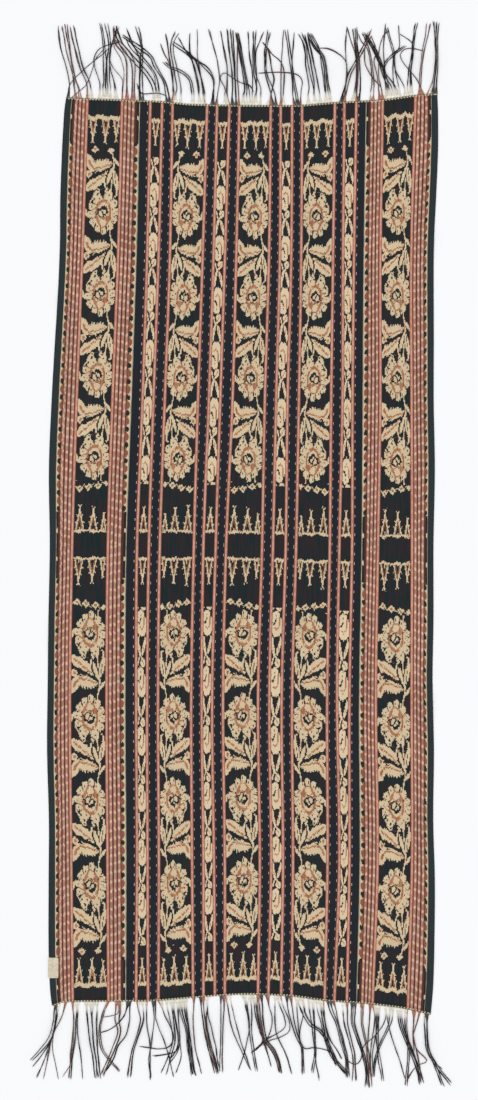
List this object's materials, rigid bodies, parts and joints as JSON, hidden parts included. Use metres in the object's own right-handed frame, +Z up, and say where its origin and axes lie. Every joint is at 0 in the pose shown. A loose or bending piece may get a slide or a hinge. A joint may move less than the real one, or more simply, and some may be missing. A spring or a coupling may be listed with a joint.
{
  "type": "woven cloth",
  "caption": "Flat warp ikat cloth with floral bands between fine stripes, a twined edging row and a loose warp fringe at each end, lying face up.",
  "frame": {"origin": "centre of the overall box, on the surface the cloth lies on", "axes": "+X across the cloth to the viewer's right, +Y along the warp to the top end, +Z up from the surface"},
  "size_m": [0.9266, 2.3543, 0.0047],
  "materials": {
    "cloth": "matt warp-faced cotton",
    "fringe": "matt twisted cotton",
    "label": "matt plain tape"
  },
  "bodies": {
    "root": {"cloth": "cloth", "fringe_top": "fringe", "fringe_bottom": "fringe", "label": "label"}
  },
  "joints": []
}
